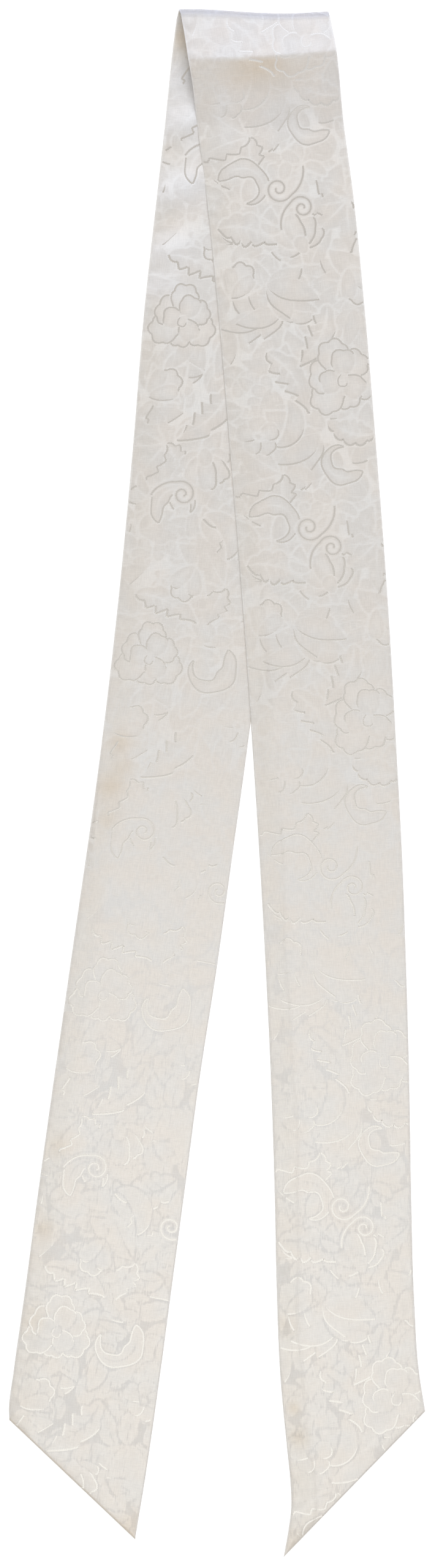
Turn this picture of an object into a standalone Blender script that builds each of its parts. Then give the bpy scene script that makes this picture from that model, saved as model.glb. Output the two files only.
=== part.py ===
"""A skinny silk scarf, folded across its middle and laid flat as a narrow upside-down V.

The scarf is a flat tube: one strip of cloth folded lengthwise, with its seam along the left edge and its
ends closed on the slant. Its two layers are two thin walls, a hair apart. The front tail lies on the back
tail and slides off it to the right, and a soft roll stands up where the scarf turns over.

Metres, +Z up. The scarf rests on Z = 0, the fold is at +Y and the tips at -Y, and the origin is the middle
of its footprint. "Down" is the distance from the fold's outermost line towards the tips, and "across" is
the distance from the middle line, to the right. Both are in millimetres in the tables below.
"""

import math
from collections import namedtuple

import bmesh
import bpy
from mathutils import Vector

MM = 0.001

# Overall sizes, in millimetres
LENGTH = 1010.0
MIDDLE_LINE = 0.3

# The cloth: two layers a seam's clearance apart
LAYER = 1.0
CLEARANCE = 0.3
TUBE = 2 * LAYER + CLEARANCE
TAIL_LIFT = TUBE + CLEARANCE

# The pressed seam allowance along the left edge lifts the upper layer
ALLOWANCE_WIDTH = 13.0
ALLOWANCE_FADE = 3.5
ALLOWANCE_LIFT = 0.25

# The fold: a round turn, a facet that climbs, a crest, a slope down and a long soft foot
TURN_RADIUS = 4.0
TURN_CENTRE = TURN_RADIUS + TUBE / 2
TURN_END = 170
TURN_STEP = 18
FACET_LENGTH = 15.0
CREST_RADIUS = 12.0
SLOPE_ANGLE = 16
FOOT_RADIUS = 70.0
FOLD_ROWS = {"facet": 3, "crest": 4, "slope": 3, "foot": 5}

# The fold's outline sags a little, right of the middle
SAG_DEPTH = 2.7
SAG_START = -12.0
SAG_WIDTH = 110.0
SAG_FADE = 45.0

# Where the front tail leaves the back tail's edge it comes down to the surface
DROP_START = 9.5
DROP_END = 27.0
DROP_FADE_IN = 25.0
DROP_FULL = 61.0

# The stretches meet a clearance apart
BACK_JOIN = 8.0
SKEW_START = 700.0
ROW_SPACING = 27.0
END_INSETS = (0.0, 0.6, 1.8)

# The rim of each layer: distance in from the edge, and the share of the layer's thickness there
RIM_INSETS = (0.0, 0.5, 1.6)
RIM_SHARES = (0.3, 0.75, 1.0)
NOMINAL_WIDTH = 97.0
BODY_COLUMNS = (7.0, ALLOWANCE_WIDTH, ALLOWANCE_WIDTH + ALLOWANCE_FADE, 28.0, 40.0, 52.0, 64.0, 76.0, 87.0)

Edge = namedtuple("Edge", "down across")
Row = namedtuple("Row", "left_down right_down height turned share")

FRONT_LEFT = (
    Edge(0.0, -24.0), Edge(23.0, -19.2), Edge(73.0, -13.0), Edge(121.0, -6.8), Edge(193.0, 0.6),
    Edge(289.0, 8.8), Edge(385.0, 16.6), Edge(481.0, 23.4), Edge(625.0, 32.0), Edge(697.0, 35.4),
    Edge(769.0, 37.8), Edge(841.0, 39.4), Edge(889.0, 41.4), Edge(941.0, 46.2), Edge(961.0, 48.2),
    Edge(979.0, 48.6), Edge(989.0, 47.4), Edge(1010.0, 43.8),
)
FRONT_RIGHT = (
    Edge(0.0, 73.0), Edge(23.0, 77.4), Edge(73.0, 83.0), Edge(121.0, 89.4), Edge(193.0, 96.6),
    Edge(289.0, 104.6), Edge(385.0, 111.8), Edge(481.0, 117.4), Edge(553.0, 121.2), Edge(625.0, 123.8),
    Edge(697.0, 125.8), Edge(769.0, 127.0), Edge(841.0, 129.0), Edge(889.0, 132.2), Edge(914.8, 136.2),
)
BACK_LEFT = (
    Edge(0.0, -25.4), Edge(25.0, -28.6), Edge(73.0, -33.6), Edge(121.0, -39.0), Edge(193.0, -47.0),
    Edge(289.0, -55.0), Edge(385.0, -64.2), Edge(481.0, -75.4), Edge(625.0, -95.8), Edge(769.0, -116.2),
    Edge(841.0, -125.8), Edge(889.0, -132.6), Edge(914.0, -135.6), Edge(920.4, -135.4),
)
BACK_RIGHT = (
    Edge(0.0, 73.0), Edge(25.0, 70.2), Edge(73.0, 64.6), Edge(121.0, 59.0), Edge(193.0, 50.8),
    Edge(289.0, 41.0), Edge(385.0, 31.4), Edge(481.0, 20.2), Edge(553.0, 10.2), Edge(625.0, 0.2),
    Edge(697.0, -11.0), Edge(769.0, -20.6), Edge(841.0, -30.2), Edge(889.0, -36.6), Edge(961.0, -47.0),
    Edge(998.4, -53.2),
)

SILK_COLOUR = (0.72, 0.69, 0.64, 1.0)
SILK_ROUGHNESS = 0.45
SHARP_ANGLE = 50


def smoothstep(start, end, value):
    """Rise softly from 0 at start to 1 at end."""
    t = min(max((value - start) / (end - start), 0.0), 1.0)
    return t * t * (3 - 2 * t)


def along_edge(table, down):
    """Read an edge's place across from its table, on a smooth curve through the rows."""
    last = len(table) - 2
    i = 0
    while i < last and table[i + 1].down < down:
        i += 1
    a, b = table[i], table[i + 1]
    before = table[max(i - 1, 0)]
    after = table[min(i + 2, len(table) - 1)]
    span = b.down - a.down
    slope_a = (b.across - before.across) / (b.down - before.down)
    slope_b = (after.across - a.across) / (after.down - a.down)
    t = min(max((down - a.down) / span, 0.0), 1.0)
    rise = b.across - a.across
    bend = slope_a * span * t * (1 - t) ** 2 - slope_b * span * t * t * (1 - t)
    return a.across + rise * t * t * (3 - 2 * t) + bend


def spaced(start, end, spacing):
    """Return even steps from start to end, about the given spacing apart, with both ends."""
    steps = max(1, round((end - start) / spacing))
    return [start + (end - start) * i / steps for i in range(steps + 1)]


def turn_rows():
    """Rows round the turn, from the back tail's join over to the start of the facet."""
    rows = [Row(BACK_JOIN, BACK_JOIN, TUBE / 2, 0.0, 1.0)]
    angles = list(range(0, TURN_END, TURN_STEP)) + [TURN_END]
    for angle in angles:
        down = TURN_CENTRE - TURN_RADIUS * math.sin(math.radians(angle))
        height = TURN_CENTRE - TURN_RADIUS * math.cos(math.radians(angle))
        rows.append(Row(down, down, height, angle / TURN_END, 1.0))
    return rows


def walk(rows, length, start_angle, end_angle, steps):
    """Carry the upper side on by a stretch whose climb turns evenly from one angle to the other."""
    down, height = rows[-1].left_down, rows[-1].height
    step = length / steps
    for i in range(steps):
        climb = start_angle + (end_angle - start_angle) * (i + 0.5) / steps
        down += step * math.cos(math.radians(climb))
        height += step * math.sin(math.radians(climb))
        rows.append(Row(down, down, height, 1.0, 1.0))


def fold_rows():
    """Rows of the whole fold, ending where the front tail lies flat on the back tail."""
    rows = turn_rows()
    climb = 180 - TURN_END
    crest_length = CREST_RADIUS * math.radians(climb + SLOPE_ANGLE)
    foot_length = FOOT_RADIUS * math.radians(SLOPE_ANGLE)
    foot_drop = FOOT_RADIUS * (1 - math.cos(math.radians(SLOPE_ANGLE)))
    walk(rows, FACET_LENGTH, climb, climb, FOLD_ROWS["facet"])
    walk(rows, crest_length, climb, -SLOPE_ANGLE, FOLD_ROWS["crest"])
    slope_drop = rows[-1].height - foot_drop - (TUBE / 2 + TAIL_LIFT)
    slope_length = slope_drop / math.sin(math.radians(SLOPE_ANGLE))
    walk(rows, slope_length, -SLOPE_ANGLE, -SLOPE_ANGLE, FOLD_ROWS["slope"])
    walk(rows, foot_length, -SLOPE_ANGLE, 0, FOLD_ROWS["foot"])
    return rows


def tail_rows(start, left_end, right_end, height, turned):
    """Rows from the fold to a slanted end: level at first, then turning evenly to the slant."""
    rows = [Row(down, down, height, turned, 1.0) for down in spaced(start, SKEW_START, ROW_SPACING)]
    longest = max(left_end, right_end)
    inner_end = longest - END_INSETS[-1]
    places = spaced(SKEW_START, inner_end, ROW_SPACING)[1:]
    places += [longest - inset for inset in reversed(END_INSETS[:-1])]
    shares = [1.0] * (len(places) - len(RIM_SHARES) + 1) + list(reversed(RIM_SHARES[:-1]))
    for place, share in zip(places, shares):
        progress = (place - SKEW_START) / (longest - SKEW_START)
        left = SKEW_START + (left_end - SKEW_START) * progress
        right = SKEW_START + (right_end - SKEW_START) * progress
        rows.append(Row(left, right, height, turned, share))
    return rows


def columns():
    """Return the shares across a row, with each column's share of the layer's thickness."""
    right_rim = [NOMINAL_WIDTH - inset for inset in reversed(RIM_INSETS)]
    places = list(RIM_INSETS) + list(BODY_COLUMNS) + right_rim
    shares = list(RIM_SHARES) + [1.0] * len(BODY_COLUMNS) + list(reversed(RIM_SHARES))
    return [(place / NOMINAL_WIDTH, share) for place, share in zip(places, shares)]


def sag(across, down):
    """Return how far the fold's outline dips towards the tips at this place."""
    t = min(max((across - SAG_START) / SAG_WIDTH, 0.0), 1.0)
    return SAG_DEPTH * math.sin(math.pi * t) ** 1.5 * (1 - smoothstep(0, SAG_FADE, down))


def drop(across, down):
    """Return how far the front tail has come down where it is off the back tail."""
    off_the_edge = across - along_edge(BACK_RIGHT, down)
    share = smoothstep(DROP_START, DROP_END, off_the_edge) * smoothstep(DROP_FADE_IN, DROP_FULL, down)
    return TAIL_LIFT * share


def middle_surface(rows):
    """Return the grid of points halfway between the two layers."""
    grid = []
    for row in rows:
        left = along_edge(BACK_LEFT, row.left_down) * (1 - row.turned)
        left += along_edge(FRONT_LEFT, row.left_down) * row.turned
        right = along_edge(BACK_RIGHT, row.right_down) * (1 - row.turned)
        right += along_edge(FRONT_RIGHT, row.right_down) * row.turned
        points = []
        for place, _ in columns():
            across = left + (right - left) * place
            down = row.left_down + (row.right_down - row.left_down) * place
            height = row.height - (drop(across, down) if row.turned == 1 else 0)
            points.append(Vector((across - MIDDLE_LINE, LENGTH / 2 - down - sag(across, down), height)))
        grid.append(points)
    return grid


def outward_normals(grid):
    """Return the normals that point out of the fold: down on the back tail, up on the front tail."""
    last_row, last_column = len(grid) - 1, len(grid[0]) - 1
    normals = []
    for i in range(len(grid)):
        line = []
        for j in range(len(grid[0])):
            along = grid[min(i + 1, last_row)][j] - grid[max(i - 1, 0)][j]
            across = grid[i][min(j + 1, last_column)] - grid[i][max(j - 1, 0)]
            line.append(along.cross(across).normalized())
        normals.append(line)
    return normals


def allowance(place):
    """Return the lift of the seam allowance under the layer that shows, from a share across."""
    inset = place * NOMINAL_WIDTH
    rim = smoothstep(0, RIM_INSETS[-1], inset)
    return ALLOWANCE_LIFT * rim * (1 - smoothstep(ALLOWANCE_WIDTH, ALLOWANCE_WIDTH + ALLOWANCE_FADE, inset))


def layer_shells(rows, grid, normals, side, shows):
    """Return one layer's two surfaces. Side is 1 outside the fold and -1 inside it."""
    near, far = [], []
    for row, points, directions in zip(rows, grid, normals):
        near_line, far_line = [], []
        for (place, share), point, direction in zip(columns(), points, directions):
            thickness = LAYER * min(share, row.share) + (allowance(place) * row.share if shows else 0)
            near_line.append(point + direction * side * CLEARANCE / 2)
            far_line.append(point + direction * side * (CLEARANCE / 2 + thickness))
        near.append(near_line)
        far.append(far_line)
    return near, far


def add_layer(name, shells, material, parent):
    """Close two surfaces into one wall and add it to the scene."""
    near, far = shells
    rows, count = len(near), len(near[0])
    mesh_points = bmesh.new()
    grids = [[[mesh_points.verts.new(p * MM) for p in line] for line in shell] for shell in (near, far)]
    inner, outer = grids

    def quad(a, b, c, d):
        mesh_points.faces.new((a, b, c))
        mesh_points.faces.new((a, c, d))

    for i in range(rows - 1):
        for j in range(count - 1):
            quad(outer[i][j], outer[i][j + 1], outer[i + 1][j + 1], outer[i + 1][j])
            quad(inner[i][j], inner[i + 1][j], inner[i + 1][j + 1], inner[i][j + 1])
        quad(inner[i][0], outer[i][0], outer[i + 1][0], inner[i + 1][0])
        quad(inner[i][-1], inner[i + 1][-1], outer[i + 1][-1], outer[i][-1])
    for j in range(count - 1):
        quad(inner[0][j], inner[0][j + 1], outer[0][j + 1], outer[0][j])
        quad(inner[-1][j], outer[-1][j], outer[-1][j + 1], inner[-1][j + 1])
    bmesh.ops.recalc_face_normals(mesh_points, faces=mesh_points.faces)
    mesh = bpy.data.meshes.new(name)
    mesh_points.to_mesh(mesh)
    mesh_points.free()
    mesh.materials.append(material)
    mesh.shade_smooth()
    mesh.set_sharp_from_angle(angle=math.radians(SHARP_ANGLE))
    layer = bpy.data.objects.new(name, mesh)
    layer.parent = parent
    bpy.context.scene.collection.objects.link(layer)


def silk():
    """The ivory silk of the whole scarf."""
    material = bpy.data.materials.new("silk")
    material.use_nodes = True
    shader = material.node_tree.nodes["Principled BSDF"]
    shader.inputs["Base Color"].default_value = SILK_COLOUR
    shader.inputs["Roughness"].default_value = SILK_ROUGHNESS
    shader.inputs["Metallic"].default_value = 0.0
    material.diffuse_color = SILK_COLOUR
    return material


def add_stretch(rows, outer_name, inner_name, shown_side, material, parent):
    """Add the two layers of one stretch. Shown side is the side of the layer that shows."""
    grid = middle_surface(rows)
    normals = outward_normals(grid)
    for name, side in ((outer_name, 1), (inner_name, -1)):
        shells = layer_shells(rows, grid, normals, side, side == shown_side)
        add_layer(name, shells, material, parent)


def build():
    """Build the scarf in an empty scene."""
    for thing in list(bpy.data.objects):
        bpy.data.objects.remove(thing, do_unlink=True)
    scarf = bpy.data.objects.new("scarf", None)
    bpy.context.scene.collection.objects.link(scarf)
    material = silk()

    fold = fold_rows()
    front_join = fold[-1].left_down + CLEARANCE
    front_height = TUBE / 2 + TAIL_LIFT
    front = tail_rows(front_join, FRONT_LEFT[-1].down, FRONT_RIGHT[-1].down, front_height, 1.0)
    back_start = BACK_JOIN + CLEARANCE
    back = tail_rows(back_start, BACK_LEFT[-1].down, BACK_RIGHT[-1].down, TUBE / 2, 0.0)
    back.reverse()

    add_stretch(fold, "fold_outer", "fold_inner", 1, material, scarf)
    add_stretch(front, "front_tail_face", "front_tail_backing", 1, material, scarf)
    add_stretch(back, "back_tail_backing", "back_tail_face", -1, material, scarf)


build()
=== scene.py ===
"""The looks of an ivory silk jacquard scarf, folded across its middle and laid flat.

The scarf is a flat tube with its seam on the left edge. Its front tail lies on its back tail, and a soft
roll stands where it turns over. Each tail has two layers, and each layer is one sheet of cloth here. The
woven flowers are laid out on one repeat of the cloth as signed distances, which the silk material reads
through attributes. Their satin outlines are threads made with Geometry Nodes.

Tables are in millimetres. "Down" is the distance from the fold's outermost line towards the tips, "across"
is the distance from the middle line to the right, and "along" follows the cloth itself.
"""

import math
from collections import namedtuple

import bpy
import numpy as np
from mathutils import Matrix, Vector


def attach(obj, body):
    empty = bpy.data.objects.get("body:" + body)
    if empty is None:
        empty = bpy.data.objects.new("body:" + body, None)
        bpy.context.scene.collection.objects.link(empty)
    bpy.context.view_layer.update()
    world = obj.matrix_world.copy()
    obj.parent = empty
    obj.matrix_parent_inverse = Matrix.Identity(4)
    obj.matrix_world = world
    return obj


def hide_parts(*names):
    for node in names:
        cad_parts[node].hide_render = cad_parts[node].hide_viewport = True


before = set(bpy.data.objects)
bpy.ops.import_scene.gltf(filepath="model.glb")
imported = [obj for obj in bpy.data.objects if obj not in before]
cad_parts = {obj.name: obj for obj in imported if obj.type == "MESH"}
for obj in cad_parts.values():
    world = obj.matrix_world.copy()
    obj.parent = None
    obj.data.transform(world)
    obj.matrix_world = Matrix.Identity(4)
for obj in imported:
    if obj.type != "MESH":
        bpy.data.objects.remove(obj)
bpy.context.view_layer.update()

MM = 0.001

# Overall sizes, as in the solids
LENGTH = 1010.0
MIDDLE_LINE = 0.3
CLOTH_WIDTH = 97.0

# Two layers of silk with their seam allowances, pressed flat
TUBE = 1.1
EDGE_ROUND = 0.9
TAIL_GAP = 0.1
TAIL_LIFT = TUBE + TAIL_GAP

# The fold
TURN_RADIUS = 4.5
TURN_CENTRE = TURN_RADIUS + TUBE / 2
TURN_CLIMB = 4
FACET_LENGTH = 22.0
CREST_RADIUS = 9.0
SLOPE_ANGLE = 12
FOOT_RADIUS = 70.0
BACK_JOIN = 8.0
SAG_DEPTH = 2.7
SAG_START = -12.0
SAG_WIDTH = 110.0
SAG_FADE = 45.0
SAG_SHARPNESS = 1.5
CREST_LEAN = 6.0
CREST_AT = 28.0
CREST_REACH = 16.0
LEAN_RIGHT = 75.0
LEAN_WIDTH = 95.0

# Where the front tail leaves the back tail's edge
DROP_START = 0.8
DROP_END = 16.0
DROP_FADE_IN = 25.0
DROP_FULL = 61.0

# The pressed seam allowance along the left edge and inside the slanted ends
ALLOWANCE_WIDTH = 13.0
ALLOWANCE_FADE = 3.0
ALLOWANCE_LIFT = 0.28
LEAST_LOFT = 0.5
END_ALLOWANCE = 9.0
END_LIFT = 0.14

# Reach, wavelength and phase of the waves in the allowance's inner edge
WANDERS = ((1.2, 37.0, 0.0), (0.6, 13.0, 1.0))

# The unevenness of pressed silk, and the puckers along the seam
SWELL_LIFT = 0.16
SWELL_WAVELENGTHS = (34.0, 47.0, 61.0, 83.0, 120.0, 170.0)
FRONT_SWELL_SEED = 5
BACK_SWELL_SEED = 9
PUCKER_LIFT = 0.10
PUCKER_LENGTH = 9.0
PUCKER_INSET = 3.5
PUCKER_WIDTH = 3.0
PUCKER_SHIFT = 1.5
PUCKER_SHIFT_LENGTH = 23.0
RELIEF_EDGE = 4.0

# Where the relief and the settled edges fade in, in shares of the turn or in millimetres down
TURN_RELIEF = (0.45, 0.9)
BACK_RELIEF = (BACK_JOIN, 24.0)
FRONT_SETTLED = (20.0, 60.0)
BACK_SETTLED = (BACK_JOIN, 30.0)

SKEW_START = 700.0
FACE_GRID = 1.15
UNDER_GRID = 1.7
TURN_GRID = 0.7
RIM_INSETS = (0.0, 0.05, 0.2, 0.45, 0.9)

# The camera looks straight down and frames 1024 mm of the surface from top to bottom
PIXEL = 0.4
FRAME_HEIGHT_PX = 2560
FRAME_CENTRE_PX = (364.0, 1280.0)
MIDDLE_LINE_PX = 353.5
FOLD_PX = 17.0
CAMERA_HEIGHT = 3.2
SENSOR = 24.0

FRONT_LEFT = (
    (0, -24.0), (23, -19.2), (73, -13.0), (121, -6.8), (193, 0.6), (289, 8.8), (385, 16.6), (481, 23.4),
    (625, 32.0), (697, 35.4), (769, 37.8), (841, 39.4), (889, 41.4), (941, 46.2), (961, 48.2), (979, 48.6),
    (989, 47.4), (1010, 43.8),
)
FRONT_RIGHT = (
    (0, 73.0), (23, 77.4), (73, 83.0), (121, 89.4), (193, 96.6), (289, 104.6), (385, 111.8), (481, 117.4),
    (553, 121.2), (625, 123.8), (697, 125.8), (769, 127.0), (841, 129.0), (889, 132.2), (914.8, 136.2),
)
BACK_LEFT = (
    (0, -25.4), (25, -28.6), (73, -33.6), (121, -39.0), (193, -47.0), (289, -55.0), (385, -64.2),
    (481, -75.4), (625, -95.8), (769, -116.2), (841, -125.8), (889, -132.6), (914, -135.6), (920.4, -135.4),
)
BACK_RIGHT = (
    (0, 73.0), (25, 70.2), (73, 64.6), (121, 59.0), (193, 50.8), (289, 41.0), (385, 31.4), (481, 20.2),
    (553, 10.2), (625, 0.2), (697, -11.0), (769, -20.6), (841, -30.2), (889, -36.6), (961, -47.0),
    (998.4, -53.2),
)

# A side of 1 is outside the fold, and a side of -1 is inside it
Layer = namedtuple("Layer", "name side front shows lies_on replaces")
LAYERS = (
    Layer("back_underside", 1, False, False, (), ("back_tail_backing",)),
    Layer("back_cloth", -1, False, True, ("back_underside",), ("back_tail_face",)),
    Layer("front_underside", -1, True, False, ("back_cloth",), ("front_tail_backing", "fold_inner")),
    Layer("front_cloth", 1, True, True, ("front_underside",), ("front_tail_face", "fold_outer")),
)

SoftFold = namedtuple("SoftFold", "down inset half_length half_width turn lift")
FRONT_FOLDS = [SoftFold(*row) for row in (
    (868, 2, 7, 10, 80, -0.5), (915, 3, 9, 8, 20, -0.5), (935, 4, 8, 8, 30, -0.6),
    (110, 20, 40, 9, 8, 0.5), (390, 40, 60, 12, 4, 0.3),
)]
BACK_FOLDS = [SoftFold(*row) for row in (
    (72, 16, 9, 22, 20, 1.05), (90, 10, 7, 20, 24, -0.4), (115, 16, 10, 22, 30, 1.25),
    (137, 12, 8, 18, 30, -0.4), (156, 14, 9, 20, 26, 1.2), (178, 8, 8, 14, 24, 0.9),
    (470, 13, 8, 10, 60, -0.6), (505, 10, 26, 6, 6, -0.6), (530, 3, 40, 3, 7, 0.6),
    (742, 6, 8, 8, 20, -0.4), (796, 5, 7, 10, 70, -0.5),
)]


def smoothstep(start, end, value):
    """Rise softly from 0 at start to 1 at end."""
    t = np.clip((value - start) / (end - start), 0.0, 1.0)
    return t * t * (3 - 2 * t)


def bell(distance):
    """A soft hump: 1 in its middle, and nearly 0 two widths away."""
    return np.exp(-(distance**2))


def smooth_curve(rows):
    """Return a function that reads a two-column table on a smooth curve."""
    at, value = np.array(rows, float).T
    slope = np.gradient(value, at)

    def read(place):
        """Read the table at a place."""
        i = np.clip(np.searchsorted(at, place) - 1, 0, len(at) - 2)
        span = at[i + 1] - at[i]
        t = np.clip((place - at[i]) / span, 0, 1)
        rise = value[i + 1] - value[i]
        bend = span * t * (1 - t) * (slope[i] * (1 - t) - slope[i + 1] * t)
        return value[i] + rise * t * t * (3 - 2 * t) + bend

    return read


class Course:
    """The scarf's middle line from tip to tip, by arc length from the foot of the turn.

    Arc length is negative on the back tail and positive round the turn and on the front tail.
    """

    STEP = 0.25
    STRAIGHT_ENDS = 880.0
    SMOOTHED_STEPS = 161
    SPARE_AHEAD = 20
    SPARE_BEHIND = 10

    def __init__(self):
        """Work out the course from the radii, angles and lengths of its stretches."""
        slope_drop = self.crest_height() - self.foot_drop() - (TUBE / 2 + TAIL_LIFT)
        # Length, first climb and last climb of each stretch
        stretches = (
            (TURN_RADIUS * math.radians(180 - TURN_CLIMB), 180, TURN_CLIMB),
            (FACET_LENGTH, TURN_CLIMB, TURN_CLIMB),
            (CREST_RADIUS * math.radians(TURN_CLIMB + SLOPE_ANGLE), TURN_CLIMB, -SLOPE_ANGLE),
            (slope_drop / math.sin(math.radians(SLOPE_ANGLE)), -SLOPE_ANGLE, -SLOPE_ANGLE),
            (FOOT_RADIUS * math.radians(SLOPE_ANGLE), -SLOPE_ANGLE, 0),
            (LENGTH + self.SPARE_AHEAD, 0, 0),
        )
        self.turn_length = stretches[0][0]
        ends = np.cumsum([0] + [s[0] for s in stretches])
        s = np.arange(self.STEP / 2, ends[-2] + LENGTH, self.STEP)
        climb = np.zeros_like(s)
        for (length, first, last), start in zip(stretches, ends):
            inside = (s >= start) & (s < start + length)
            climb[inside] = first + (last - first) * (s[inside] - start) / length
        down = TURN_CENTRE + np.concatenate([[0], np.cumsum(np.cos(np.radians(climb)))]) * self.STEP
        height = TUBE / 2 + np.concatenate([[0], np.cumsum(np.sin(np.radians(climb)))]) * self.STEP
        ahead = np.arange(len(down)) * self.STEP
        behind = np.arange(int((LENGTH + self.SPARE_BEHIND) / self.STEP), 0, -1) * self.STEP
        self.s = np.concatenate([-behind, ahead])
        self.down = np.concatenate([TURN_CENTRE + behind, down])
        self.height = np.concatenate([np.full(len(behind), TUBE / 2), height])
        turned = np.clip(self.s / self.turn_length, 0, 1)
        edges = [smooth_curve(t)(self.down) for t in (BACK_LEFT, FRONT_LEFT, BACK_RIGHT, FRONT_RIGHT)]
        self.left = edges[0] * (1 - turned) + edges[1] * turned
        self.right = edges[2] * (1 - turned) + edges[3] * turned
        self.lay_out_axis()

    @staticmethod
    def crest_height():
        """The height where the crest has turned into the slope."""
        turn_top = TUBE / 2 + TURN_RADIUS * (1 + math.cos(math.radians(TURN_CLIMB)))
        facet = FACET_LENGTH * math.sin(math.radians(TURN_CLIMB))
        bow = CREST_RADIUS * (math.cos(math.radians(SLOPE_ANGLE)) - math.cos(math.radians(TURN_CLIMB)))
        return turn_top + facet + bow

    @staticmethod
    def foot_drop():
        """How far the cloth drops while the slope runs out."""
        return FOOT_RADIUS * (1 - math.cos(math.radians(SLOPE_ANGLE)))

    def lay_out_axis(self):
        """Work out the cloth's own lengthwise axis: its place, its tilt and the length along it."""
        middle = (self.left + self.right) / 2
        kept = self.down < self.STRAIGHT_ENDS
        slope = np.gradient(middle, self.s)
        window = np.ones(self.SMOOTHED_STEPS) / self.SMOOTHED_STEPS
        slope = np.convolve(np.pad(slope, self.SMOOTHED_STEPS // 2, mode="edge"), window, mode="valid")
        first, last = np.argmax(kept), len(kept) - 1 - np.argmax(kept[::-1])
        slope[:first] = slope[first]
        slope[last:] = slope[last]
        middle[:first] = middle[first] + slope[first] * (self.s[:first] - self.s[first])
        middle[last:] = middle[last] + slope[last] * (self.s[last:] - self.s[last])
        self.middle = middle
        self.tilt = np.arctan(slope)
        along = np.concatenate([[0], np.cumsum(1 / np.cos(self.tilt[:-1])) * self.STEP])
        self.along = along - np.interp(0, self.s, along)

    def read(self, name, s):
        """Read one of the course's columns at any arc length."""
        return np.interp(s, self.s, getattr(self, name))

    def at_down(self, down, front):
        """Return the arc length of a place on the flat part of a tail."""
        if front:
            flat = self.s > self.turn_length
            return np.interp(down, self.down[flat], self.s[flat])
        return TURN_CENTRE - down


COURSE = Course()
BACK_RIGHT_AT = smooth_curve(BACK_RIGHT)


def outlines(front):
    """The left and right outlines of one tail."""
    return (FRONT_LEFT, FRONT_RIGHT) if front else (BACK_LEFT, BACK_RIGHT)


def sag(across, down):
    """How far the fold's outline dips towards the tips."""
    t = np.clip((across - SAG_START) / SAG_WIDTH, 0, 1)
    return SAG_DEPTH * np.sin(math.pi * t) ** SAG_SHARPNESS * (1 - smoothstep(0, SAG_FADE, down))


def lean(across, down):
    """How much further from the fold's outline the crest lies towards the left edge."""
    share = np.clip((LEAN_RIGHT - across) / LEAN_WIDTH, 0, 1)
    return CREST_LEAN * share * bell((down - CREST_AT) / CREST_REACH)


def middle_point(s, across):
    """The point halfway between the two layers, as three columns in millimetres."""
    down, height = COURSE.read("down", s), COURSE.read("height", s)
    off_edge = across - BACK_RIGHT_AT(down)
    past_crest = smoothstep(DROP_FADE_IN, DROP_FULL, down)
    drop = TAIL_LIFT * smoothstep(DROP_START, DROP_END, off_edge) * past_crest
    on_top = s > COURSE.turn_length
    height = height - np.where(on_top, drop, 0)
    y = LENGTH / 2 - down - sag(across, down) - np.where(on_top, lean(across, down), 0)
    return np.stack([across - MIDDLE_LINE, y, height], -1)


def unit(vectors):
    """The same directions, each one long."""
    return vectors / np.maximum(np.linalg.norm(vectors, axis=-1, keepdims=True), 1e-9)


def outward(s, across, reach=0.6):
    """The normal that points out of the fold: down on the back tail, up on the front tail."""
    along = middle_point(s + reach, across) - middle_point(s - reach, across)
    sideways = middle_point(s, across + reach) - middle_point(s, across - reach)
    return unit(np.cross(along, sideways))


def from_line(start, end, across, down):
    """Distance from a slanted end, positive on the scarf's side. Start and end are (down, across)."""
    run = np.array([end[1] - start[1], end[0] - start[0]])
    run = run / np.linalg.norm(run)
    return (across - start[1]) * run[1] - (down - start[0]) * run[0]


def insets(s, across):
    """Distances in from the left edge, the right edge and the slanted end."""
    down = COURSE.read("down", s)
    upright = np.cos(COURSE.read("tilt", s))
    left = (across - COURSE.read("left", s)) * upright
    right = (COURSE.read("right", s) - across) * upright
    ends = [from_line(*(edge[-1] for edge in outlines(front)), across, down) for front in (True, False)]
    return left, right, np.where(s > 0, *ends)


def cloth_place(s, across):
    """The cloth's own coordinates: across from the seam, and along from the fold's foot."""
    offset = across - COURSE.read("middle", s)
    tilt = COURSE.read("tilt", s)
    return CLOTH_WIDTH / 2 + offset * np.cos(tilt), COURSE.read("along", s) + offset * np.sin(tilt)


def from_cloth(u, v):
    """Arc length and place across of cloth coordinates."""
    s = np.interp(v, COURSE.along, COURSE.s)
    for _ in range(4):
        offset = (u - CLOTH_WIDTH / 2) / np.cos(COURSE.read("tilt", s))
        s = np.interp(v - offset * np.sin(COURSE.read("tilt", s)), COURSE.along, COURSE.s)
    return s, COURSE.read("middle", s) + offset


def swell(u, v, seed):
    """A slow, shallow unevenness of pressed silk, from a few crossing waves."""
    chance = np.random.default_rng(seed)
    total = np.zeros_like(u)
    for wavelength in SWELL_WAVELENGTHS:
        angle, phase = chance.uniform(0, math.pi), chance.uniform(0, 2 * math.pi)
        total += np.sin((u * math.cos(angle) + v * math.sin(angle)) * 2 * math.pi / wavelength + phase)
    return total / len(SWELL_WAVELENGTHS)


def soft_folds(folds, s, left_inset):
    """The lift of the ridges and troughs that are placed one by one."""
    down = COURSE.read("down", s)
    lift = np.zeros_like(s)
    for fold in folds:
        c, k = math.cos(math.radians(fold.turn)), math.sin(math.radians(fold.turn))
        dd, du = down - fold.down, left_inset - fold.inset
        lengthwise = (dd * c + du * k) / fold.half_length
        crosswise = (du * c - dd * k) / fold.half_width
        lift += fold.lift * bell(lengthwise) * bell(crosswise)
    return lift


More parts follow.
